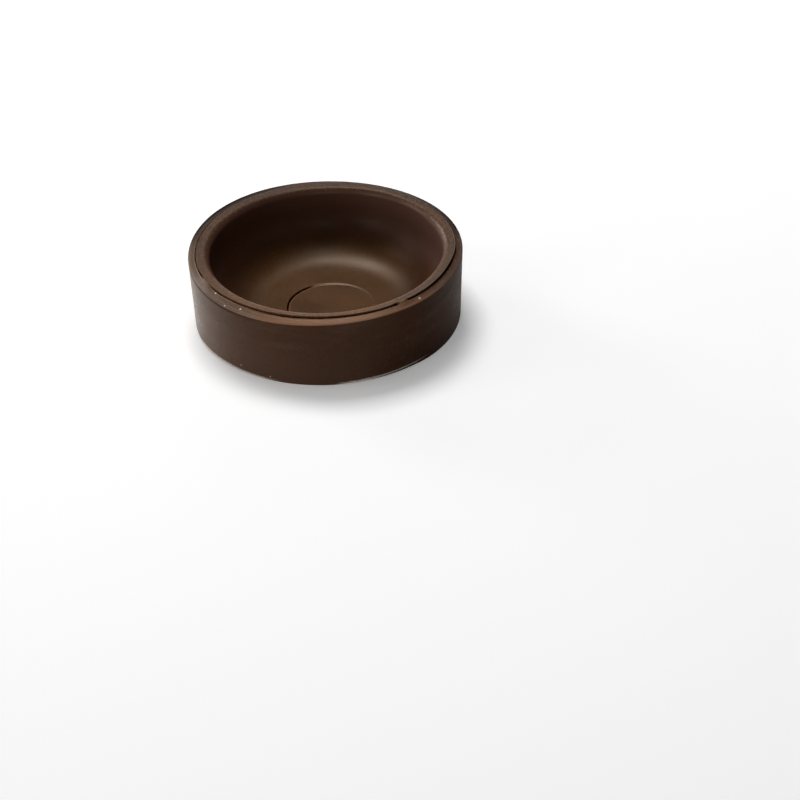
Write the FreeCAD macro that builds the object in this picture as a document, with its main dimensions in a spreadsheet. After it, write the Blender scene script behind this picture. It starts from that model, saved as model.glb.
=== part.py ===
import FreeCAD, Part
import math
import os
import Sketcher

# A round rubber cup that a castor or a furniture foot stands in.
# Lengths are in millimetres and angles in degrees. Each size is written once, in this table.
SIZES = (
    ("mouth_diameter", 50.7, "inner wall across the mouth, before the rim is rounded"),
    ("rim_width", 4.65, "from the inner wall to the outer edge of the lip, before its bevel"),
    ("height", 16.8, "from the base to the flat ring on the rim"),
    ("base_thickness", 2.0, "rubber under the floor of the cup"),
    ("lip_width", 1.58, "sloping lip outside the parting slit"),
    ("lip_drop", 0.8, "how far the lip falls to its outer edge"),
    ("outer_draft", 3.15, "lean of the outer wall that lets it leave the mould"),
    ("inner_draft", 1.0, "lean of the inner wall"),
    ("rim_round", 2.0, "rounded inner edge of the rim"),
    ("floor_round", 10.0, "curve from the inner wall into the floor"),
    ("lip_bevel", 0.3, "narrow bevel on the outer edge of the lip"),
    ("disc_diameter", 19.8, "sunk disc in the middle of the floor"),
    ("disc_depth", 0.4, "how far the disc is sunk"),
    ("disc_offset", 0.65, "how far to the right of the cup's axis the disc has its middle"),
    ("slit_width", 0.3, "parting slit between the ring and the lip"),
    ("slit_depth", 0.5, "depth of the slit below the ring"),
    ("left_gap_place", 209.0, "direction of the place on the left where the slit is closed"),
    ("left_gap_span", 7.2, "length of that place"),
    ("right_gap_place", 306.8, "direction of the place on the right where the slit is closed"),
    ("right_gap_span", 5.5, "length of that place"),
)

# Sizes that follow from the table; the last two keep a round within the wall that carries it.
FOLLOWING = (
    ("mouth_radius", "mouth_diameter / 2"),
    ("outer_radius", "mouth_radius + rim_width"),
    ("lip_height", "height - lip_drop"),
    ("base_radius", "outer_radius - lip_height * tan(outer_draft * 1deg)"),
    ("bevel_foot_radius", "outer_radius - lip_bevel * tan(outer_draft * 1deg)"),
    ("bevel_foot_level", "lip_height - lip_bevel"),
    ("bevel_top_radius", "outer_radius - lip_bevel"),
    ("bevel_top_level", "lip_height + lip_bevel * lip_drop / lip_width"),
    ("ring_radius", "outer_radius - lip_width"),
    ("floor_radius", "mouth_radius - (height - base_thickness) * tan(inner_draft * 1deg)"),
    ("slit_inner_radius", "ring_radius - slit_width / 2"),
    ("slit_outer_radius", "ring_radius + slit_width / 2"),
    ("front_run_start", "left_gap_place + left_gap_span / 2"),
    ("front_run_end", "right_gap_place - right_gap_span / 2"),
    ("back_run_start", "right_gap_place + right_gap_span / 2"),
    ("back_run_end", "left_gap_place - left_gap_span / 2"),
    ("rim_round_fit", "min(rim_round; slit_inner_radius - mouth_radius - slit_width)"),
    ("floor_round_fit", "min(floor_round; height - base_thickness - rim_round_fit - slit_width)"),
)

MIDDLE = FreeCAD.Vector(0, 0, 0)
UP = FreeCAD.Vector(0, 0, 1)
# Two lengths this close count as the same length.
SAME = 1e-4

doc = FreeCAD.newDocument("castor_cup")
sheet = doc.addObject("Spreadsheet::Sheet", "Sizes")
for row, (name, value, meaning) in enumerate(SIZES, start=1):
    sheet.set(f"A{row}", name)
    sheet.set(f"B{row}", str(value))
    sheet.set(f"C{row}", meaning)
    sheet.setAlias(f"B{row}", name)
for row, (name, formula) in enumerate(FOLLOWING, start=len(SIZES) + 1):
    sheet.set(f"A{row}", name)
    sheet.set(f"B{row}", f"={formula}")
    sheet.setAlias(f"B{row}", name)
doc.recompute()


def size(name):
    """The value of a named size, as the sheet holds it."""
    return float(sheet.get(name))


body = doc.addObject("PartDesign::Body", "castor_cup")
body.Label = "castor_cup"
planes = {feature.Role: feature for feature in body.Origin.OriginFeatures}


def new_sketch(name, plane, level=None):
    """A sketch on one of the body's own planes, raised to a named level."""
    sketch = body.newObject("Sketcher::SketchObject", name)
    sketch.AttachmentSupport = (planes[plane], "")
    sketch.MapMode = "FlatFace"
    if level:
        sketch.setExpression("AttachmentOffset.Base.z", f"Sizes.{level}")
    return sketch


def bind(sketch, constraint, formula):
    """Add one dimension and tie it to the sheet."""
    index = sketch.addConstraint(constraint)
    sketch.setExpression(f"Constraints[{index}]", formula)


def turned_section(name, corners):
    """A closed section beside the axis, from corners named as (radius, level, round).

    A corner on the axis has no radius, one on the base no level, and a sharp one no round.
    The corners go anticlockwise, and a rounded one is measured to where its edges would meet.
    """
    sketch = new_sketch(name, "XZ_Plane")
    values = [[size(part) if part else 0 for part in corner] for corner in corners]
    points = [FreeCAD.Vector(radius, level, 0) for radius, level, soft in values]
    back = [(points[index - 1] - point).normalize() for index, point in enumerate(points)]
    onward = [direction * -1 for direction in back[1:] + back[:1]]
    half = [one.getAngle(other) / 2 for one, other in zip(back, onward)]
    reach = [soft / math.tan(angle) for (radius, level, soft), angle in zip(values, half)]

    for index, point in enumerate(points):
        start = point + onward[index] * reach[index]
        after = (index + 1) % len(points)
        end = points[after] + back[after] * reach[after]
        sketch.addGeometry(Part.LineSegment(start, end), False)

    for index, (radius, level, soft) in enumerate(corners):
        before = (index - 1) % len(points)
        corner = index
        if soft:
            inward = (back[index] + onward[index]).normalize()
            centre = points[index] + inward * (size(soft) / math.sin(half[index]))
            first = points[index] + back[index] * reach[index] - centre
            last = points[index] + onward[index] * reach[index] - centre
            sweep = (math.atan2(first.y, first.x), math.atan2(last.y, last.x))
            circle = Part.Circle(centre, UP, size(soft))
            arc = sketch.addGeometry(Part.ArcOfCircle(circle, *sweep), False)
            sketch.addConstraint(Sketcher.Constraint("Tangent", before, 2, arc, 1))
            sketch.addConstraint(Sketcher.Constraint("Tangent", arc, 2, index, 1))
            bind(sketch, Sketcher.Constraint("Radius", arc, size(soft)), f"Sizes.{soft}")
            corner = sketch.addGeometry(Part.Point(points[index]), True)
            for line in (before, index):
                sketch.addConstraint(Sketcher.Constraint("PointOnObject", corner, 1, line))
        else:
            sketch.addConstraint(Sketcher.Constraint("Coincident", before, 2, index, 1))
        if radius:
            across = Sketcher.Constraint("DistanceX", -1, 1, corner, 1, size(radius))
            bind(sketch, across, f"Sizes.{radius}")
        else:
            sketch.addConstraint(Sketcher.Constraint("PointOnObject", corner, 1, -2))
        if level:
            up = Sketcher.Constraint("DistanceY", -1, 1, corner, 1, size(level))
            bind(sketch, up, f"Sizes.{level}")
        else:
            sketch.addConstraint(Sketcher.Constraint("PointOnObject", corner, 1, -1))
    doc.recompute()
    return sketch


def turn(kind, name, sketch):
    """A full turn of a section about the cup's axis, added or cut."""
    feature = body.newObject(kind, name)
    feature.Profile = sketch
    feature.ReferenceAxis = (sketch, ["V_Axis"])
    feature.Angle = 360
    sketch.Visibility = False
    doc.recompute()


def ring_edge(shape, radius, level):
    """The name of the shape's round edge of this radius at this level."""
    for index, edge in enumerate(shape.Edges, start=1):
        curve = edge.Curve
        if not isinstance(curve, Part.Circle):
            continue
        if abs(curve.Radius - radius) < SAME and abs(curve.Center.z - level) < SAME:
            return f"Edge{index}"
    raise RuntimeError(f"no round edge of radius {radius} at level {level}")


def sink(name, sketch, depth):
    """Cut a sketched outline straight down by a named depth."""
    feature = body.newObject("PartDesign::Pocket", name)
    feature.Profile = sketch
    feature.setExpression("Length", f"Sizes.{depth}")
    sketch.Visibility = False
    doc.recompute()


def arc_slot(sketch, start, end):
    """A slot that follows the slit's circle between two named directions."""
    sweep = (math.radians(size(start)), math.radians(size(end)))
    arcs = []
    for name in ("slit_inner_radius", "slit_outer_radius"):
        circle = Part.Circle(MIDDLE, UP, size(name))
        arc = sketch.addGeometry(Part.ArcOfCircle(circle, *sweep), False)
        sketch.addConstraint(Sketcher.Constraint("Coincident", arc, 3, -1, 1))
        bind(sketch, Sketcher.Constraint("Radius", arc, size(name)), f"Sizes.{name}")
        arcs.append(arc)
    for arc_end, angle, name in ((1, sweep[0], start), (2, sweep[1], end)):
        out = FreeCAD.Vector(math.cos(angle), math.sin(angle), 0)
        cap = Part.LineSegment(out * size("slit_inner_radius"), out * size("slit_outer_radius"))
        line = sketch.addGeometry(cap, False)
        for line_end, arc in enumerate(arcs, start=1):
            joined = Sketcher.Constraint("Coincident", line, line_end, arc, arc_end)
            sketch.addConstraint(joined)
        bind(sketch, Sketcher.Constraint("Angle", line, angle), f"Sizes.{name} * 1deg")


# The solid cup: a drafted wall, and a lip that slopes down from the flat ring.
outside = turned_section(
    "outside_section",
    (
        (None, None, None),
        ("base_radius", None, None),
        ("bevel_foot_radius", "bevel_foot_level", None),
        ("bevel_top_radius", "bevel_top_level", None),
        ("ring_radius", "height", None),
        (None, "height", None),
    ),
)
turn("PartDesign::Revolution", "outside", outside)
whole = body.Shape.Volume

# The hollow that the castor stands in, curving from its wall into its floor.
hollow = turned_section(
    "hollow_section",
    (
        (None, "base_thickness", None),
        ("floor_radius", "base_thickness", "floor_round_fit"),
        ("mouth_radius", "height", None),
        (None, "height", None),
    ),
)
turn("PartDesign::Groove", "hollow", hollow)
hollowed = body.Shape.Volume

# The inner edge of the rim, rounded where the hollow meets the flat ring.
solid = body.Tip
rim = body.newObject("PartDesign::Fillet", "rim_edge")
rim.Base = (solid, [ring_edge(solid.Shape, size("mouth_radius"), size("height"))])
rim.setExpression("Radius", "Sizes.rim_round_fit")
doc.recompute()
rounded = body.Shape.Volume

# The shallow disc in the floor, a little off the axis.
disc_outline = new_sketch("disc_outline", "XY_Plane", "base_thickness")
disc_middle = FreeCAD.Vector(size("disc_offset"), 0, 0)
disc_outline.addGeometry(Part.Circle(disc_middle, UP, size("disc_diameter") / 2), False)
disc_outline.addConstraint(Sketcher.Constraint("PointOnObject", 0, 3, -1))
beside_axis = Sketcher.Constraint("DistanceX", -1, 1, 0, 3, size("disc_offset"))
bind(disc_outline, beside_axis, "Sizes.disc_offset")
across_disc = Sketcher.Constraint("Diameter", 0, size("disc_diameter"))
bind(disc_outline, across_disc, "Sizes.disc_diameter")
sink("disc", disc_outline, "disc_depth")
sunk = body.Shape.Volume

# The parting slit between the ring and the lip: two runs, with a closed place at each end.
slit_outline = new_sketch("slit_outline", "XY_Plane", "height")
arc_slot(slit_outline, "front_run_start", "front_run_end")
arc_slot(slit_outline, "back_run_start", "back_run_end")
sink("parting_slit", slit_outline, "slit_depth")
finished = body.Shape.Volume

for before, after in ((whole, hollowed), (hollowed, rounded), (rounded, sunk), (sunk, finished)):
    if not after < before:
        raise RuntimeError(f"a cut removed nothing: {before} to {after}")
for item in doc.Objects:
    if "Invalid" in item.State or "Error" in item.State:
        raise RuntimeError(f"{item.Name} is {item.State}")
if body.Shape.isNull() or not body.Shape.isValid() or len(body.Shape.Solids) != 1:
    raise RuntimeError("the cup is not one sound solid")

os.makedirs("parts", exist_ok=True)
body.Shape.exportStep(f"parts/{body.Label}.step")
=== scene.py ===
import math

import bmesh
import bpy
from mathutils import Matrix, Vector


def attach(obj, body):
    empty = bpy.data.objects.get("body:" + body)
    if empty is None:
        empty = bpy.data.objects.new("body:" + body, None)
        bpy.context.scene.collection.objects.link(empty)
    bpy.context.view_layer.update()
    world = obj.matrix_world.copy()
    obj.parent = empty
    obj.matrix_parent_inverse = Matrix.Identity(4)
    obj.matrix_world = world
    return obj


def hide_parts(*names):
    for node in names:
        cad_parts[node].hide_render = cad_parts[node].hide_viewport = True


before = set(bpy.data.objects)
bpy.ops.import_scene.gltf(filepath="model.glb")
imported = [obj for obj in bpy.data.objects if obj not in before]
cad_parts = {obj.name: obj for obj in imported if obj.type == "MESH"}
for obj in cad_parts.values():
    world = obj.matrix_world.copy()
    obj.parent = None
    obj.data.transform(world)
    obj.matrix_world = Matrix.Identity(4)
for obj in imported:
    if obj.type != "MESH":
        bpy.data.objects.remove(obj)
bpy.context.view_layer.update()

MM = 0.001

# Sizes of the cup in millimetres, as the solid has them.
HEIGHT = 16.8
OUTER_RADIUS = 30.0
LIP_HEIGHT = 16.0
BASE_RADIUS = 29.12
RING_RADIUS = 28.42
MOUTH_RADIUS = 25.35
FLOOR_RADIUS = 25.09
FLOOR_LEVEL = 2.0
FLOOR_ROUND = 10.0
DISC_OFFSET = 0.65
SLIT_WIDTH = 0.3
SLIT_DEPTH = 0.5

# Forms in millimetres that were measured more closely than in the solid, or are too small for it.
DISC_RADIUS = 9.4
RIM_ROUND = 1.5
LIP_ROUND = 0.22
BASE_ROUND = 0.12
FIN_LEVEL = 1.2
SLIT_INSET = 0.16
SLIT_WANDER = 0.16
SLIT_SHIFT = 0.3
BRIM_WIDTH = 0.25
SHOULDER_START = 0.7

# The closed places of the slit: the middle and the width of each, in degrees round the cup.
LEFT_GAP = (204.7, 9.2)
RIGHT_GAP = (305.8, 5.2)

# Reaches in millimetres of the closely divided zones and of the marks along the section.
DISC_ZONE = 0.85
SLIT_ZONE = 0.42
WALL_TOP_ZONE = 0.2
LIP_EDGE = 0.07
LIP_BLEND = 0.3
RING_BLEND = 1.0
WALL_MARGIN = 0.5
FRONT_LIMB = 2.25
RIGHT_LIMB = 2.4
# Stands for a distance to something that is nowhere near.
FAR = 99.0

# Length of the section from the middle of the underside to the outer edge of the lip.
WALL_END = BASE_RADIUS + math.hypot(OUTER_RADIUS - BASE_RADIUS, LIP_HEIGHT)


class Wire:
    """A socket in a node tree; arithmetic on it adds Math nodes."""

    def __init__(self, tree, socket):
        self.tree = tree
        self.socket = socket

    def maths(self, operation, *values):
        inputs = dict(enumerate(values))
        return self.tree.add("ShaderNodeMath", {"operation": operation}, inputs)

    def __add__(self, other):
        return self.maths("ADD", self, other)

    __radd__ = __add__

    def __sub__(self, other):
        return self.maths("SUBTRACT", self, other)

    def __rsub__(self, other):
        return self.maths("SUBTRACT", other, self)

    def __mul__(self, other):
        return self.maths("MULTIPLY", self, other)

    __rmul__ = __mul__

    def __truediv__(self, other):
        return self.maths("DIVIDE", self, other)

    def __rtruediv__(self, other):
        return self.maths("DIVIDE", other, self)

    def __neg__(self):
        return self.maths("MULTIPLY", self, -1.0)

    def __abs__(self):
        return self.maths("ABSOLUTE", self)

    def floor(self):
        return self.maths("FLOOR", self)

    def cos(self):
        return self.maths("COSINE", self)

    def sin(self):
        return self.maths("SINE", self)

    def least(self, other):
        return self.maths("MINIMUM", self, other)

    def most(self, other):
        return self.maths("MAXIMUM", self, other)

    def wrapped(self, high, low):
        return self.maths("WRAP", self, high, low)


class Tree:
    """A node tree that is filled by one method."""

    def __init__(self, nodes):
        self.nodes = nodes

    def add(self, kind, settings=None, inputs=None, out=0):
        """A new node; gives the wire of one of its outputs, or the node if it has none."""
        node = self.nodes.nodes.new(kind)
        for name, value in (settings or {}).items():
            setattr(node, name, value)
        for name, value in (inputs or {}).items():
            socket = node.inputs[name]
            if isinstance(value, Wire):
                self.nodes.links.new(value.socket, socket)
            else:
                socket.default_value = value
        return Wire(self, node.outputs[out]) if len(node.outputs) else node

    def vector(self, x, y, z):
        return self.add("ShaderNodeCombineXYZ", inputs={"X": x, "Y": y, "Z": z})

    def apart(self, vector):
        """The three numbers of a vector."""
        first = self.add("ShaderNodeSeparateXYZ", inputs={"Vector": vector})
        return [Wire(self, socket) for socket in first.socket.node.outputs]

    def noise(self, vector, scale, detail, roughness, seed):
        return self.add(
            "ShaderNodeTexNoise",
            {"noise_dimensions": "4D"},
            {"Vector": vector, "Scale": scale, "Detail": detail, "Roughness": roughness, "W": seed},
        )

    def rise(self, value, low, high):
        """A smooth rise from 0 at low to 1 at high."""
        return self.add(
            "ShaderNodeMapRange",
            {"interpolation_type": "SMOOTHSTEP"},
            {"Value": value, "From Min": low, "From Max": high},
        )

    def fall(self, value, low, high):
        """A smooth fall from 1 at low to 0 at high."""
        return 1.0 - self.rise(value, low, high)

    def blend(self, factor, one, other):
        """A colour between two colours."""
        return self.add(
            "ShaderNodeMix", {"data_type": "RGBA"}, {0: factor, 6: one, 7: other}, 2
        )


def colour(red, green, blue):
    """A colour from its screen values, 0 to 255."""
    def linear(value):
        value /= 255
        return value / 12.92 if value <= 0.04045 else ((value + 0.055) / 1.055) ** 2.4
    return (linear(red), linear(green), linear(blue), 1.0)


def grey(level):
    """A grey of this linear level."""
    return (level, level, level, 1.0)


# The section of the cup, from the middle of the underside round to the middle of the disc.

def line(start, end, count):
    """Points from start up to, and without, end."""
    return [
        tuple(a + (b - a) * step / count for a, b in zip(start, end)) for step in range(count)
    ]


def soft_corner(before, corner, after, radius, count):
    """The points of a round of this radius between two straight edges."""
    corner = Vector(corner)
    back = (Vector(before) - corner).normalized()
    onward = (Vector(after) - corner).normalized()
    half = back.angle(onward) / 2
    centre = corner + (back + onward).normalized() * (radius / math.sin(half))
    first = corner + back * (radius / math.tan(half)) - centre
    last = corner + onward * (radius / math.tan(half)) - centre
    turn = first.angle_signed(last)
    return [
        tuple(centre + Matrix.Rotation(-turn * step / count, 2) @ first)
        for step in range(count + 1)
    ]


def cup_section():
    """Points (radius, level) along the section, close together where the form is small."""
    middle, base = (0.0, 0.0), (BASE_RADIUS, 0.0)
    lip, ring = (OUTER_RADIUS, LIP_HEIGHT), (RING_RADIUS, HEIGHT)
    mouth, floor = (MOUTH_RADIUS, HEIGHT), (FLOOR_RADIUS, FLOOR_LEVEL)
    disc_outer = (DISC_RADIUS + DISC_ZONE, FLOOR_LEVEL)
    disc_inner = (DISC_RADIUS - DISC_ZONE, FLOOR_LEVEL)
    disc_middle = (0.0, FLOOR_LEVEL)
    slope = (Vector(lip) - Vector(ring)).normalized()
    outer_bank = tuple(Vector(ring) + slope * SLIT_ZONE)
    inner_bank = (RING_RADIUS - SLIT_ZONE - 2 * SLIT_INSET, HEIGHT)
    base_soft = soft_corner(middle, base, lip, BASE_ROUND, 3)
    lip_soft = soft_corner(base, lip, ring, LIP_ROUND, 7)
    rim_soft = soft_corner(ring, mouth, floor, RIM_ROUND, 11)
    floor_soft = soft_corner(mouth, floor, disc_middle, FLOOR_ROUND, 14)
    lean = (OUTER_RADIUS - BASE_RADIUS) / LIP_HEIGHT
    fin_top = (BASE_RADIUS + lean * FIN_LEVEL, FIN_LEVEL)
    wall_top = tuple(Vector(lip_soft[0]) - WALL_TOP_ZONE * Vector((lean, 1.0)))
    return (
        line(middle, base_soft[0], 4)
        + base_soft[:-1]
        + line(base_soft[-1], fin_top, 12)
        + line(fin_top, wall_top, 11)
        + line(wall_top, lip_soft[0], 3)
        + lip_soft[:-1]
        + line(lip_soft[-1], outer_bank, 7)
        + line(outer_bank, ring, 12)
        + line(ring, inner_bank, 18)
        + line(inner_bank, rim_soft[0], 4)
        + rim_soft[:-1]
        + line(rim_soft[-1], floor_soft[0], 7)
        + floor_soft[:-1]
        + line(floor_soft[-1], disc_outer, 5)
        + line(disc_outer, disc_inner, 28)
        + line(disc_inner, disc_middle, 5)
        + [disc_middle]
    )


def portion(value, start, end):
    """How far a value has come from start to end, 0 to 1."""
    return min(1.0, max(0.0, (value - start) / (end - start)))


def point_marks(radius, level, in_bore):
    """What a point of the section belongs to; in_bore is true past the middle of the rim."""
    on_top = level > LIP_HEIGHT - LIP_EDGE
    at_wall = radius > BASE_RADIUS - WALL_MARGIN
    on_floor = in_bore and level == FLOOR_LEVEL
    near_rim = portion(level, HEIGHT / 2, HEIGHT - RIM_ROUND)
    ring_width = RING_RADIUS - MOUTH_RADIUS
    return {
        "bank": radius - RING_RADIUS if on_top else FAR,
        "lip": portion(radius, RING_RADIUS, RING_RADIUS + LIP_BLEND) if on_top else 0.0,
        "wall": 1.0 if at_wall and not on_top else 0.0,
        "foot": portion(level, FIN_LEVEL, 0.0) if at_wall else 0.0,
        "disc": radius - DISC_RADIUS if on_floor else FAR,
        "dips": min(level / LIP_HEIGHT, portion(radius, RING_RADIUS, OUTER_RADIUS)),
        "crown": portion(radius, RING_RADIUS, MOUTH_RADIUS) * near_rim,
        "shoulder": portion(RING_RADIUS - radius, SHOULDER_START, ring_width) ** 2 * near_rim,
        "inside": portion(radius, RING_RADIUS - RING_BLEND, MOUTH_RADIUS) if in_bore else 0.0,
    }


def section_object(name, points):
    """A chain of points in the XZ plane, with what each point belongs to."""
    mesh = bpy.data.meshes.new(name)
    places = [(radius * MM, 0.0, level * MM) for radius, level in points]
    mesh.from_pydata(places, [(i, i + 1) for i in range(len(places) - 1)], [])
    all_marks, along = [], 0.0
    for index, here in enumerate(points):
        along += math.dist(points[max(index - 1, 0)], here)
        marks = point_marks(*here, index > len(points) // 2)
        all_marks.append({"along": along, **marks})
    for mark in all_marks[0]:
        values = [marks[mark] for marks in all_marks]
        mesh.attributes.new(mark, "FLOAT", "POINT").data.foreach_set("value", values)
    return bpy.data.objects.new(name, mesh)


# Making a piece with a geometry tree.

def node_group(name, sizes):
    """An empty geometry tree with named inputs, and a wire from each of them."""
    group = bpy.data.node_groups.new(name, "GeometryNodeTree")
    kinds = {float: "NodeSocketFloat", int: "NodeSocketInt"}
    group.interface.new_socket(name="Geometry", in_out="INPUT", socket_type="NodeSocketGeometry")
    for label, value in sizes.items():
        kind = kinds.get(type(value), "NodeSocketMaterial")
        group.interface.new_socket(name=label, in_out="INPUT", socket_type=kind)
    group.interface.new_socket(name="Geometry", in_out="OUTPUT", socket_type="NodeSocketGeometry")
    tree = Tree(group)
    start = group.nodes.new("NodeGroupInput")
    return tree, {socket.name: Wire(tree, socket) for socket in start.outputs if socket.name}


def finish_tree(tree, geometry, material):
    """The tail of the tree: plain geometry with its material."""
    plain = tree.add("GeometryNodeRealizeInstances", inputs={"Geometry": geometry})
    painted = tree.add("GeometryNodeSetMaterial", inputs={"Geometry": plain, "Material": material})
    tree.add("NodeGroupOutput", inputs={"Geometry": painted})


def made_piece(name, carrier, tree, sizes):
    """Run a tree on its carrier and keep the result as a plain mesh of that name."""
    bpy.context.scene.collection.objects.link(carrier)
    modifier = carrier.modifiers.new("making", "NODES")
    modifier.node_group = tree.nodes
    for socket in tree.nodes.interface.items_tree:
        if socket.in_out == "INPUT" and socket.name in sizes:
            modifier[socket.identifier] = sizes[socket.name]
    graph = bpy.context.evaluated_depsgraph_get()
    mesh = bpy.data.meshes.new_from_object(
        carrier.evaluated_get(graph), preserve_all_data_layers=True, depsgraph=graph
    )
    carrier.modifiers.remove(modifier)
    bpy.data.objects.remove(carrier)
    mesh.name = name
    shell = bmesh.new()
    shell.from_mesh(mesh)
    bmesh.ops.recalc_face_normals(shell, faces=shell.faces)
    shell.to_mesh(mesh)
    shell.free()
    piece = bpy.data.objects.new(name, mesh)
    bpy.context.scene.collection.objects.link(piece)
    return piece


# The cup: its section turned round, with the unevenness of the moulding.

class Turning:
    """A grid with one row for each step round the cup, and the wires of its points.

    The wire right is 1 at the cup's right and -1 at its left. The wire back is 1 at its back
    and -1 at its front.
    """

    def __init__(self, tree, given):
        self.tree = tree
        self.given = given
        steps = given["Steps Round"]
        count = tree.add(
            "GeometryNodeAttributeDomainSize", {"component": "MESH"}, {"Geometry": given["Geometry"]}
        )
        self.grid = tree.add(
            "GeometryNodeMeshGrid",
            inputs={"Size X": 1.0, "Size Y": 1.0, "Vertices X": steps + 1, "Vertices Y": count},
        )
        index = tree.add("GeometryNodeInputIndex")
        row = ((index + 0.5) / count).floor()
        self.place = index - row * count
        self.angle = row / steps * math.tau
        self.right = self.angle.cos()
        self.back = self.angle.sin()
        position = self.sample("FLOAT_VECTOR", tree.add("GeometryNodeInputPosition"))
        self.radius, _, self.level = tree.apart(position)

    def sample(self, kind, value):
        """A value of the section, at the point of it that a point of the grid comes from."""
        return self.tree.add(
            "GeometryNodeSampleIndex",
            {"data_type": kind, "domain": "POINT"},
            {"Geometry": self.given["Geometry"], "Value": value, "Index": self.place},
        )

    def mark(self, name):
        """One of the section's marks."""
        value = self.tree.add(
            "GeometryNodeInputNamedAttribute", {"data_type": "FLOAT"}, {"Name": name}
        )
        return self.sample("FLOAT", value)

    def noise(self, scale, detail, roughness, shift, lift=0.0):
        """A noise round the cup; lift is how fast it changes with the level."""
        place = self.tree.vector(self.right, self.back, self.level * lift)
        return self.tree.noise(place, scale, detail, roughness, self.given["Seed"] + shift)

    def beside(self, name, soft):
        """0 over a named stretch round the cup, rising to 1 beside it; soft is in degrees."""
        half = self.given.get(name + " Span", 0.0) * 0.5
        away = abs((self.angle - self.given[name]).wrapped(math.pi, -math.pi))
        return self.tree.rise(away, half - math.radians(soft), half + math.radians(soft))

    def over(self, name, soft):
        """1 over a named stretch round the cup, falling to 0 beside it."""
        return 1.0 - self.beside(name, soft)


def slit_shape(turn, bank):
    """The wavering slit: where it is open, the painted highlight on its lit edge beside it, and how
    far both drop.
    """
    tree, given, right, back = turn.tree, turn.given, turn.right, turn.back
    is_open = turn.beside("Left Gap", 2.4) * turn.beside("Right Gap", 0.5)
    torn = turn.over("Torn End", 2.6)
    waver = turn.noise(9.0, 4.0, 0.6, 0.0)
    right_shut = tree.rise(back, -0.28, 0.05) * tree.rise(right, 0.0, 0.5)
    back_shut = tree.rise(back, 0.5, 0.8)
    left_shut = tree.rise(-right, 0.2, 0.7)
    closing = (0.55 * right_shut.most(back_shut)).most(0.36 * left_shut)
    spread = 0.4 + waver + 1.6 * torn + (-back).most(0.0) + 0.4 * abs(right)
    half_width = given["Slit Half Width"] * (spread * (1.0 - closing))

    outward = SLIT_SHIFT * tree.rise(right, 0.8, 0.96) * tree.rise(back, -0.35, 0.05)
    wander = (turn.noise(5.0, 3.0, 0.5, 3.0) - 0.5) * SLIT_WANDER
    off_slit = bank + wander + SLIT_INSET * tree.fall(-right, 0.5, 0.9) - outward
    from_slit = abs(off_slit) * MM
    edge = half_width * 1.1
    opened = tree.fall(from_slit, half_width * 0.85, edge) * is_open

    # Painted highlight: the edge beside the slit that faces the lamps, the ring's side at the right
    # and the lip's side at the left, is marked pale.
    ring_side = tree.fall(off_slit, -0.05, 0.05)
    lit_ring_side = ring_side * tree.rise(right, 0.1, 0.5)
    lit_lip_side = (1.0 - ring_side) * tree.rise(-right, 0.4, 0.8)
    beside_slit = tree.fall(from_slit, edge, edge + BRIM_WIDTH * MM) * (1.0 - opened)
    whole = is_open * (1.0 - torn) * tree.fall(back, -0.05, 0.45)
    brim_highlight = beside_slit * (lit_ring_side + lit_lip_side) * whole

    stepped = turn.beside("Left Gap", 4.5) * turn.beside("Right Gap", 3.5)
    off_ring = bank - outward
    below_ring = tree.rise(off_ring, -0.2, -0.05) * tree.fall(off_ring, -0.05, 1.3) * stepped
    drop = given["Slit Depth"] * (0.7 + 0.6 * waver) * opened + given["Lip Step"] * below_ring
    return opened, brim_highlight, drop


def rim_drop(turn):
    """How far the uneven lip and the worn inner edge of the ring lie below the section."""
    tree, given, right, back = turn.tree, turn.given, turn.right, turn.back
    toward_front = (-back).most(0.0)
    toward_left = (1.0 - right) * 0.5
    toward_right = tree.rise(right, 0.75, 0.95) * tree.rise(back, -0.55, 0.0)
    lip_dip = (
        given["Lip Dip"] * (turn.angle * 2.0).sin() * toward_left
        + given["Front Dip"] * toward_front
        - given["Back Lift"] * back.most(0.0)
    )
    return (
        turn.mark("dips") * lip_dip
        + given["Crown"] * turn.mark("crown") * toward_front
        + given["Shoulder"] * turn.mark("shoulder") * toward_right
    )


def disc_shape(turn):
    """The sunk disc with its crack: crack, painted highlight on the edge inside the crack, how far it
    drops and how far it lies aside.
    """
    tree, given = turn.tree, turn.given
    off_disc = turn.mark("disc") - 0.08 + 0.5 * turn.over("Flat Side", 48.0)
    cracked = turn.over("Crack", 9.0)
    soft = 0.36 - 0.2 * cracked
    tilt = 1.0 - 0.7 * turn.right * (turn.radius / (DISC_RADIUS * MM)).least(1.0)
    sunk = given["Disc Depth"] * tilt * tree.fall(off_disc, -soft, soft)
    wander = (turn.noise(4.0, 2.0, 0.5, 5.0) - 0.5) * 0.1
    crack = tree.fall(abs(off_disc + wander), 0.07, 0.18) * cracked
    # Painted highlight: the disc's edge inside the crack, lit from the left, is marked pale.
    pale = tree.rise(-off_disc, 0.14, 0.25) * tree.fall(-off_disc, 0.3, 0.6) * cracked
    aside = given["Disc Offset"] * tree.fall(off_disc, 1.0, 4.0)
    return crack, pale, sunk + given["Crack Depth"] * crack, aside


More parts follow.
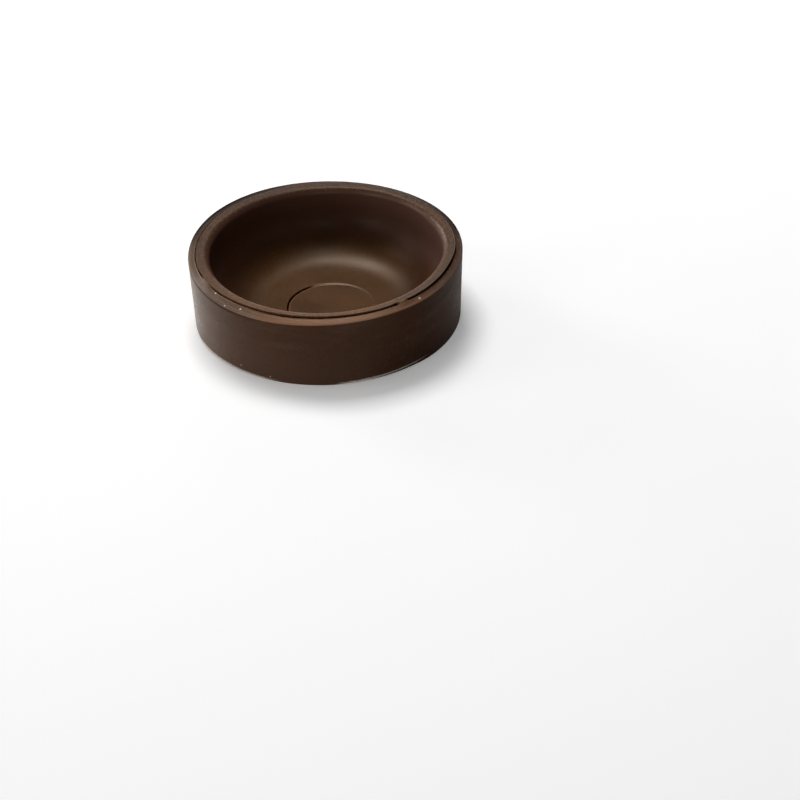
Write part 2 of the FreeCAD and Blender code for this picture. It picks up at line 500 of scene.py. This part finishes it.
def fin_shape(turn, foot):
    """The thin fin of flash at the foot of the wall, and the hollow under it."""
    tree, given, angle, level = turn.tree, turn.given, turn.angle, turn.level
    heavy = turn.over("Fin", 5.0)
    light = turn.over("Fin Tail", 7.0)
    left = turn.over("Left Fin", 8.0)
    present = heavy.most(light * 0.85).most(left * 0.7) * tree.rise(foot, 0.0, 0.05)
    climb = tree.rise(angle, given["Fin"] - 0.2, given["Fin Tail"] + 0.3)
    slope = tree.fall(angle, given["Left Fin"] - 0.4, given["Left Fin"] + 0.4)
    fin_level = given["Fin Rise"] * (0.4 + 0.6 * climb + 0.3 * slope)
    ragged = tree.rise(turn.noise(60.0, 3.0, 0.7, 23.0), 0.3, 0.7)
    thickness = (0.2 + 0.03 * left + 0.3 * heavy * ragged) * MM
    fin = tree.fall(abs(level - fin_level), thickness * 0.5, thickness) * present
    hollow = tree.fall(level, fin_level - 0.3 * MM, fin_level - 0.1 * MM) * present
    return fin, hollow


def painted_limb_highlight(turn, bank):
    """A painted highlight: the pale line along the inner edge of the ring, at the front and at the
    right.
    """
    tree, right, back = turn.tree, turn.right, turn.back
    front = tree.fall(abs(bank + FRONT_LIMB), 0.1, 0.35) * tree.rise(-back, 0.25, 0.6)
    at_right = tree.rise(right, 0.75, 0.92) * tree.fall(back, 0.0, 0.5)
    return front.most(tree.fall(abs(bank + RIGHT_LIMB), 0.0, 0.9) * at_right * 0.65)


def store(tree, geometry, name, value):
    """The geometry with one more mark on its points, for the material."""
    return tree.add(
        "GeometryNodeStoreNamedAttribute",
        {"data_type": "FLOAT", "domain": "POINT"},
        {"Geometry": geometry, "Name": name, "Value": value},
    )


def cup_tree(sizes):
    """Turns the section into the cup, with the wavering slit and the unevenness of the moulding."""
    tree, given = node_group("cup_turning", sizes)
    turn = Turning(tree, given)
    right, back = turn.right, turn.back
    bank, lip, foot = turn.mark("bank"), turn.mark("lip"), turn.mark("foot")
    opened, brim_highlight, slit_drop = slit_shape(turn, bank)
    crack, pale, disc_drop, aside = disc_shape(turn)
    fin, hollow = fin_shape(turn, foot)

    ripple = turn.noise(16.0, 3.0, 0.5, 7.0, lift=30.0)
    swell = turn.noise(1.3, 2.0, 0.5, 11.0, lift=12.0)
    nick = tree.rise(turn.noise(42.0, 3.0, 0.6, 17.0), 0.5, 0.8)
    back_right = tree.rise(right, 0.0, 0.5) * tree.rise(back, -0.4, 0.1)
    inward = (
        given["Swell"] * swell
        + given["Ripple"] * (lip * ripple + foot * nick)
        + given["Fin Reach"] * hollow
        - given["Mouth Reach"] * turn.mark("crown") * back_right
    )
    off_axis = tree.rise(turn.radius, 10.0 * MM, 20.0 * MM)
    reach = (turn.radius - inward * off_axis).most(0.0) + given["Fin Reach"] * fin
    drop = given["Ripple"] * lip * ripple * 0.8 + slit_drop + rim_drop(turn) + disc_drop
    place = tree.vector(reach * right + aside, reach * back, turn.level - drop)
    shaped = tree.add("GeometryNodeSetPosition", inputs={"Geometry": turn.grid, "Position": place})

    marks = {
        "along": turn.mark("along"),
        "lip": lip,
        "ring": tree.fall(abs(bank), 2.4, 2.9),
        "wall": turn.mark("wall"),
        "fin": fin,
        # Painted shade: the slit, the crack and the hollow under the fin are later mixed with a
        # near-black sheet.
        "slit": opened.most(crack).most(hollow * 0.7),
        "pale": pale,
        "brim_highlight": brim_highlight,
        "crest": tree.rise(bank, 0.4, 1.5) * tree.fall(bank, 2.0, 3.0),
        "limb": painted_limb_highlight(turn, bank),
        "inside": turn.mark("inside"),
    }
    for name, value in marks.items():
        shaped = store(tree, shaped, name, value)
    closed = tree.add(
        "GeometryNodeMergeByDistance", inputs={"Geometry": shaped, "Distance": 0.002 * MM}
    )
    smooth = tree.add("GeometryNodeSetShadeSmooth", inputs={"Geometry": closed})
    finish_tree(tree, smooth, given["Rubber"])
    return tree


# The brown rubber. Places on it are in millimetres.

WALL_TONES = (colour(68, 40, 22), colour(80, 48, 29))
OCHRE_TONES = (colour(68, 39, 9), colour(87, 53, 16))
# Painted light: the pale grey that the bore is blended towards.
BORE_LIGHT_TONE = colour(108, 78, 69)
# Painted shade on the floor's flanks.
FLANK_SHADE_TONE = colour(54, 34, 20)
# Pale bloom of the rubber, also used for painted sheen and painted light on the wall.
BLOOM_AND_LIGHT_TONE = colour(120, 93, 78)
DARK_GRAIN_TONE = colour(38, 22, 12)
LIGHT_GRAIN_TONE = colour(132, 98, 72)
STREAK_TONE = colour(46, 30, 20)
# Worn ring tone, also used for a painted highlight on the disc's cracked edge.
WORN_AND_LIT_RING_TONE = colour(160, 107, 72)
# Painted shade on the back and sides of the rim.
RIM_SHADE_TONE = colour(40, 26, 15)
SCUFF_TONE = colour(116, 96, 84)
# Pale flash, painted near-white as a painted highlight.
FIN_PALE_AND_LIT_TONE = colour(244, 230, 214)
SPECK_TONE = colour(216, 202, 188)
# Painted shade: near-black for the slit, the crack and other shaded places.
SHADE_SHEET_TONE = colour(8, 5, 3)
# Tones of worn places and painted light at the front, the left and the far right of the rim: the lip's
# tones serve its wear, the painted highlight on its crest and the painted sheen at its far left; the
# edge tones serve the painted highlights along the inner edge and beside the slit.
WORN_AND_LIT_LIP_TONES = (colour(150, 109, 81), colour(134, 115, 101), colour(116, 97, 87))
EDGE_HIGHLIGHT_TONES = (colour(194, 162, 130), colour(160, 138, 122), colour(158, 140, 130))

GLOSS_TINT = (1.0, 0.76, 0.56, 1.0)
SHEEN_TINT = (1.0, 0.84, 0.72, 1.0)
# Direction, in degrees round the cup, where the painted shade on the back of the lip is deepest.
LIP_SHADE_SIDE = math.radians(128.0)
SCUFF_PLACE = (16.0, -24.5, 4.5)
# Pale specks on the rim and at the base, as places and sizes.
SPECKS = (
    ((20.05, -21.24, 16.2), 0.3),
    ((-18.39, -22.48, 16.0), 0.26),
    ((-23.72, -16.03, 16.3), 0.28),
    ((-21.86, -20.14, 15.6), 0.22),
    ((-19.0, -22.2, 1.6), 0.2),
    ((-12.7, -26.3, 1.0), 0.2),
)


def new_material(name):
    """A material with an empty node tree."""
    material = bpy.data.materials.new(name)
    material.use_nodes = True
    tree = Tree(material.node_tree)
    tree.nodes.nodes.clear()
    return material, tree


class Skin:
    """The places, marks and noises on the rubber that its tone and finish are made from."""

    def __init__(self, tree):
        self.tree = tree
        place = tree.add("ShaderNodeTexCoord", out="Object")
        point = tree.add("ShaderNodeVectorMath", {"operation": "SCALE"}, {0: place, "Scale": 1.0 / MM})
        self.point = point
        self.x, self.y, self.z = tree.apart(point)
        self.lip = self.mark("lip")
        self.ring = self.mark("ring")
        self.wall = self.mark("wall")
        self.inside = self.mark("inside")
        self.crest = self.mark("crest")
        self.along = self.mark("along")
        self.rim = self.ring.most(self.lip)
        self.flat_ring = self.ring * (1.0 - self.lip)
        self.toward_left = tree.rise(-self.x, 6.0, 26.0)
        self.toward_front = tree.rise(-self.y, -6.0, 26.0)
        dark_reach = self.x * math.cos(LIP_SHADE_SIDE) + self.y * math.sin(LIP_SHADE_SIDE)
        self.lip_shade_side = tree.rise(dark_reach, 25.8, 28.8)
        self.cloud = tree.noise(point, 0.11, 3.0, 0.55, 2.0)
        self.fine = tree.noise(point, 1.6, 4.0, 0.6, 5.0)
        self.streak = self.stretched(0.05, self.along * 4.0, 0.6, 9.0)
        self.grain = tree.noise(point, 6.0, 2.0, 0.5, 13.0)
        self.mottle = tree.noise(point, 1.7, 3.0, 0.7, 17.0)
        self.sweep = self.stretched(0.1, self.z * 0.35, 0.55, 21.0)

    def mark(self, name):
        """One of the marks that the cup's tree stored."""
        return self.tree.add("ShaderNodeAttribute", {"attribute_name": name}, out="Fac")

    def stretched(self, scale, height, roughness, seed):
        """A noise that is drawn out: its scale on the level, and a height of its own."""
        place = self.tree.vector(self.x * scale, self.y * scale, height)
        return self.tree.noise(place, 1.0, 3.0, roughness, seed)

    def distance(self, place):
        """How far a point of the rubber is from a place."""
        inputs = {0: self.point, 1: place}
        return self.tree.add("ShaderNodeVectorMath", {"operation": "DISTANCE"}, inputs, "Value")


def bare_tone(skin):
    """Cloudy brown: ochre on the ring and the floor, with bloom and grain; painted light makes the
    bore greyer and lighter, sheens the left of the wall and lightens the low front of the wall, and
    painted shade darkens the floor's flanks.
    """
    tree, x, z = skin.tree, skin.x, skin.z
    patch = tree.rise(skin.cloud * 0.6 + skin.fine * 0.4, 0.3, 0.7)
    brown = tree.blend(patch, *WALL_TONES)
    ochre = tree.blend(patch, *OCHRE_TONES)
    on_floor = skin.inside * tree.fall(z, 3.0, 8.0)
    flank = tree.rise(abs(x), 12.0, 20.0)
    is_ochre = (on_floor * (1.0 - 0.8 * flank)).most(skin.flat_ring * 0.8)
    plain = tree.blend(is_ochre, brown, ochre)
    # Painted light: the bore is painted lighter and greyer, most on its right, where the lamps light
    # its inner wall.
    bore_light = skin.inside * tree.rise(z, 5.0, 9.0) * (0.45 + 0.25 * tree.rise(x, 6.0, 22.0))
    bore_lit = tree.blend(bore_light, plain, BORE_LIGHT_TONE)
    # Painted shade: the floor is darker at its left and right, next to the walls that shade it.
    flank_shaded = tree.blend(on_floor * flank * 0.5, bore_lit, FLANK_SHADE_TONE)

    # The haze is the rubber's own bloom; the left of the wall gets painted sheen, and the low front of
    # the wall painted light where the floor shades it.
    haze = tree.rise(skin.sweep, 0.42, 0.7) * (0.02 + 0.18 * skin.wall)
    left_sheen_patch = 0.12 + 0.3 * tree.rise(skin.sweep, 0.35, 0.65)
    left_painted_sheen = skin.wall * tree.rise(-x, 17.0, 29.0) * left_sheen_patch
    low_painted_light = skin.wall * 0.36 * tree.fall(z, -2.0, 12.0) * tree.fall(x, 6.0, 14.0)
    hazy_and_lit = tree.blend(haze.most(left_painted_sheen).most(low_painted_light), flank_shaded, BLOOM_AND_LIGHT_TONE)

    dark_grain = tree.fall(skin.mottle, 0.4, 0.5) * (0.02 + 0.55 * skin.rim + 0.1 * on_floor)
    light_grain = tree.rise(skin.mottle, 0.54, 0.64) * (0.03 + 0.3 * skin.rim)
    darkened = tree.blend(dark_grain, hazy_and_lit, DARK_GRAIN_TONE)
    return tree.blend(light_grain, darkened, LIGHT_GRAIN_TONE)


def worn_tone(skin, front, left, far_right):
    """The tone of worn rubber, and of painted highlights and sheen, round the rim."""
    tree = skin.tree
    front_left = tree.blend(skin.toward_left, front, left)
    return tree.blend(tree.rise(skin.x, 20.0, 27.0), front_left, far_right)


def rim_tone(skin, bare):
    """The rim: streaked and worn paler towards the front, with painted highlights on the lip's crest,
    beside the slit, along the inner edge and on the disc's cracked edge, painted sheen on the far left
    of the lip, and painted shade at the back and the sides.
    """
    tree, x, y, lip = skin.tree, skin.x, skin.y, skin.lip
    toward_left, toward_front = skin.toward_left, skin.toward_front
    dark_streak = tree.fall(skin.streak, 0.4, 0.5) * lip * (0.25 + 0.3 * toward_left)
    light_streak = tree.rise(skin.streak, 0.5, 0.6) * lip * (0.25 - 0.05 * toward_left)
    streaky = tree.blend(dark_streak, bare, STREAK_TONE)
    # The ring's front is worn paler, and the disc's edge inside the crack gets a painted highlight.
    ring_wear_and_highlight = (skin.flat_ring * toward_front * 0.22 + skin.mark("pale") * 0.35).least(0.85)
    worn_and_lit_ring = tree.blend(ring_wear_and_highlight, streaky, WORN_AND_LIT_RING_TONE)

    front_wear = toward_front * (0.58 - 0.44 * toward_left - 0.46 * tree.rise(x, 3.0, 21.0))
    # Painted sheen on the far left of the lip, and a painted highlight along the lip's outer crest;
    # the front wear is the rubber's own.
    left_lip_sheen = 0.18 * tree.rise(-x, 24.0, 28.5)
    crest_highlight = skin.crest * (0.45 - 0.25 * toward_left)
    lip_wear_and_light = (lip * (front_wear + left_lip_sheen) + light_streak + crest_highlight).least(0.9)
    worn_and_lit_lip = tree.blend(lip_wear_and_light, worn_and_lit_ring, worn_tone(skin, *WORN_AND_LIT_LIP_TONES))
    # Painted highlights along the inner edge of the ring and beside the slit.
    limb_highlight_share = skin.mark("limb") * (0.25 + 0.5 * tree.rise(skin.mottle, 0.4, 0.6))
    edge_highlight = limb_highlight_share.most(skin.mark("brim_highlight") * 0.55)
    highlighted_edge = tree.blend(edge_highlight, worn_and_lit_lip, worn_tone(skin, *EDGE_HIGHLIGHT_TONES))

    # Painted shade: the back of the lip and of the ring, and the ring's right and left, are darkened
    # where less light falls.
    shaded_lip = lip * (0.35 * tree.rise(y, 2.0, 12.0) + 0.4 * skin.lip_shade_side)
    back_shade = tree.rise(y, 4.0, 24.0) * 0.4
    right_shade = tree.rise(x, 6.0, 19.0) * tree.rise(-y, -6.0, 8.0) * 0.45
    left_shade = tree.rise(-x, 16.0, 26.0) * 0.18
    shaded_ring = skin.ring * back_shade.most(right_shade.most(left_shade) * (1.0 - lip))
    return tree.blend(shaded_ring.most(shaded_lip), highlighted_edge, RIM_SHADE_TONE)


def marked_tone(skin, base):
    """A scuffed place low on the wall, the pale fin at the foot, paler than the rubber and painted
    brighter still as a highlight, and the pale specks.
    """
    tree = skin.tree
    hatch = tree.rise(skin.stretched(2.5, skin.z * 1.3, 0.6, 27.0), 0.53, 0.66)
    scuff = hatch * tree.fall(skin.distance(SCUFF_PLACE), 3.0, 7.0) * 0.3
    scuffed = tree.blend(scuff, base, SCUFF_TONE)
    # The fin is paler flash, painted near-white as a painted highlight where light catches it.
    fin_pale_and_lit = tree.blend(skin.mark("fin"), scuffed, FIN_PALE_AND_LIT_TONE)
    specks = 0.0
    for place, size in SPECKS:
        speck = tree.fall(skin.distance(place), size * 0.6, size)
        specks = speck.most(specks)
    return tree.blend(specks, fin_pale_and_lit, SPECK_TONE)


def painted_shade_share(skin):
    """Painted shade: a near-black sheet over the slit, the crack and the hollow under the fin, a
    painted shadow line under the lip at the front left, and painted shade along the back of the lip's
    outer edge.
    """
    tree, x, y = skin.tree, skin.x, skin.y
    below_lip = WALL_END - skin.along
    # Painted shadow: a dark line just under the lip at the front left.
    under_lip_shadow = skin.wall * tree.rise(below_lip, 0.0, 0.25) * tree.fall(below_lip, 0.5, 1.0)
    left_front = tree.rise(-x, 14.0, 22.0) * tree.rise(-y, 4.0, 9.0)
    # Painted shade along the back of the lip's outer edge.
    outline = skin.lip * (0.45 + 0.55 * skin.crest) * tree.rise(y, 1.0, 9.0)
    shaded_contour = outline * (0.8 + 0.15 * skin.lip_shade_side)
    return skin.mark("slit").most(under_lip_shadow * left_front * 0.5).most(shaded_contour)


def brown_rubber():
    """Dark brown moulded rubber with a cloudy bloom, worn paler on the lip, with painted highlights,
    sheen and shade in its colour and a near-black sheet mixed in where shade falls.
    """
    material, tree = new_material("brown_rubber")
    skin = Skin(tree)
    lip, wall = skin.lip, skin.wall
    tone = marked_tone(skin, rim_tone(skin, bare_tone(skin)))
    glossy = tree.rise(skin.sweep, 0.35, 0.65) * wall
    cloudy = 0.33 + 0.12 * skin.cloud + 0.1 * (skin.fine - 0.5)
    rough = cloudy + 0.04 * lip - 0.05 * wall - 0.08 * glossy
    streaks = skin.streak * (0.25 + 0.9 * lip)
    height = skin.grain * 0.35 + skin.fine * 0.6 + streaks + skin.mottle * skin.rim * 5.0
    bump = tree.add(
        "ShaderNodeBump", inputs={"Strength": 0.35, "Distance": 0.06 * MM, "Height": height}
    )

    def finish(specular, sheen):
        return tree.add(
            "ShaderNodeBsdfPrincipled",
            inputs={
                "Base Color": tone,
                "Roughness": rough,
                "Normal": bump,
                "Specular IOR Level": specular,
                "Specular Tint": GLOSS_TINT,
                "Sheen Weight": sheen,
                "Sheen Roughness": 0.5,
                "Sheen Tint": SHEEN_TINT,
            },
        )

    def mixed(share, one, other):
        return tree.add("ShaderNodeMixShader", inputs={0: share, 1: one, 2: other})

    bloomed = mixed(wall, finish(specular=0.38, sheen=0.0), finish(specular=0.12, sheen=0.28))
    dull = (wall * tree.rise(skin.x, 2.0, 20.0) * 0.7).most(skin.flat_ring * 0.3)
    dulled = mixed(dull, bloomed, finish(specular=0.0, sheen=0.05))
    # Painted shade: a near-black diffuse sheet mixed in where shade falls.
    shade_sheet = tree.add(
        "ShaderNodeBsdfDiffuse", inputs={"Color": SHADE_SHEET_TONE, "Roughness": 1.0, "Normal": bump}
    )
    tree.add("ShaderNodeOutputMaterial", inputs={"Surface": mixed(painted_shade_share(skin), dulled, shade_sheet)})
    return material


def pale_floor():
    """A plain pale floor that shows the cup's shadow and throws little light back at it."""
    material, tree = new_material("pale_floor")
    seen = tree.add("ShaderNodeLightPath", out="Is Camera Ray")
    rays = seen.socket.node.outputs
    for name in ("Is Glossy Ray", "Is Transmission Ray"):
        seen = seen.most(Wire(tree, rays[name]))
    shader = tree.add(
        "ShaderNodeBsdfPrincipled",
        inputs={
            "Base Color": tree.blend(seen, grey(0.3), grey(0.95)),
            "Roughness": 1.0,
            "Specular IOR Level": 0.0,
            "Emission Color": tree.blend(seen, grey(0.0), grey(0.24)),
            "Emission Strength": 1.0,
        },
    )
    tree.add("ShaderNodeOutputMaterial", inputs={"Surface": shader})
    return material


# The cup. A stretch round it has the angle of its middle and its span.
cup_sizes = {
    "Steps Round": 640,
    "Slit Half Width": SLIT_WIDTH / 2 * MM,
    "Slit Depth": SLIT_DEPTH * 1.3 * MM,
    "Left Gap": math.radians(LEFT_GAP[0]),
    "Left Gap Span": math.radians(LEFT_GAP[1]),
    "Right Gap": math.radians(RIGHT_GAP[0]),
    "Right Gap Span": math.radians(RIGHT_GAP[1]),
    "Torn End": math.radians(RIGHT_GAP[0] - RIGHT_GAP[1] / 2 - 1.2),
    "Lip Step": 0.2 * MM,
    "Lip Dip": 0.55 * MM,
    "Front Dip": 0.25 * MM,
    "Back Lift": 0.15 * MM,
    "Crown": 0.25 * MM,
    "Shoulder": 0.6 * MM,
    "Mouth Reach": 0.45 * MM,
    "Disc Depth": 0.18 * MM,
    "Disc Offset": DISC_OFFSET * MM,
    "Flat Side": math.radians(85.0),
    "Crack": math.radians(172.0),
    "Crack Span": math.radians(106.0),
    "Crack Depth": 0.5 * MM,
    "Fin": math.radians(284.0),
    "Fin Span": math.radians(16.0),
    "Fin Tail": math.radians(296.0),
    "Fin Tail Span": math.radians(34.0),
    "Left Fin": math.radians(222.0),
    "Left Fin Span": math.radians(42.0),
    "Fin Reach": 0.26 * MM,
    "Fin Rise": 0.95 * MM,
    "Swell": 0.08 * MM,
    "Ripple": 0.07 * MM,
    "Seed": 4.0,
    "Rubber": brown_rubber(),
}
cup = made_piece(
    "rubber_cup", section_object("cup_section", cup_section()), cup_tree(cup_sizes), cup_sizes
)
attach(cup, "root")
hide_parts("castor_cup")

# The floor, the light and the camera.
GROUND_SIZE = 6.0
GROUND_CLEARANCE = 0.02 * MM
bpy.ops.mesh.primitive_plane_add(size=GROUND_SIZE)
floor = bpy.context.object
floor.name = "floor"
floor.location.z = -GROUND_CLEARANCE
floor.data.materials.append(pale_floor())

# Each lamp's name, place in metres, size in metres and power in watts.
LAMPS = (
    ("back_window", (-0.13, 0.42, 0.9), 0.42, 6.2),
    ("ceiling", (0.0, 0.0, 1.0), 0.4, 1.1),
    ("left_card_back", (-0.74, 0.64, 0.2), 0.3, 2.6),
    ("left_card", (-0.985, 0.0, 0.17), 0.3, 1.1),
    ("left_card_front", (-0.7, -0.7, 0.1), 0.22, 1.65),
    ("back_card", (0.0, 0.966, 0.26), 0.3, 0.7),
    ("left_shelf", (-0.82, 0.1, 0.56), 0.3, 0.5),
    ("front_card", (0.0, -0.99, 0.1), 0.3, 0.62),
)
LAMP_AIM = Vector((0.0, 0.0, 0.01))
WORLD_STRENGTH = 0.05


def soft_lamp(name, place, size, power):
    """A square lamp at a place, turned to shine at the cup."""
    data = bpy.data.lights.new(name, "AREA")
    data.shape = "SQUARE"
    data.size = size
    data.energy = power
    lamp = bpy.data.objects.new(name, data)
    lamp.location = place
    lamp.rotation_mode = "QUATERNION"
    lamp.rotation_quaternion = (LAMP_AIM - Vector(place)).to_track_quat("-Z", "Y")
    bpy.context.scene.collection.objects.link(lamp)


for lamp_row in LAMPS:
    soft_lamp(*lamp_row)

world = bpy.data.worlds.new("studio")
bpy.context.scene.world = world
world.use_nodes = True
air = Tree(world.node_tree)
air.nodes.nodes.clear()
sky = air.add("ShaderNodeBackground", inputs={"Color": grey(1.0), "Strength": WORLD_STRENGTH})
air.add("ShaderNodeOutputWorld", inputs={"Surface": sky})

# The camera was fitted to the outlines of the rim and the base in the photograph.
CAMERA_PLACE = (0.014994, -0.931941, 0.581439)
CAMERA_TILT = math.radians(57.01789)
CAMERA_ROLL = math.radians(-2.25419)
camera_data = bpy.data.cameras.new("camera")
camera_data.sensor_width = 36.0
camera_data.lens = 225.0
camera = bpy.data.objects.new("camera", camera_data)
camera_turn = Matrix.Rotation(CAMERA_TILT, 4, "X") @ Matrix.Rotation(CAMERA_ROLL, 4, "Z")
camera.matrix_world = Matrix.Translation(CAMERA_PLACE) @ camera_turn
bpy.context.scene.collection.objects.link(camera)
bpy.context.scene.camera = camera

bpy.context.scene.view_settings.view_transform = "Standard"
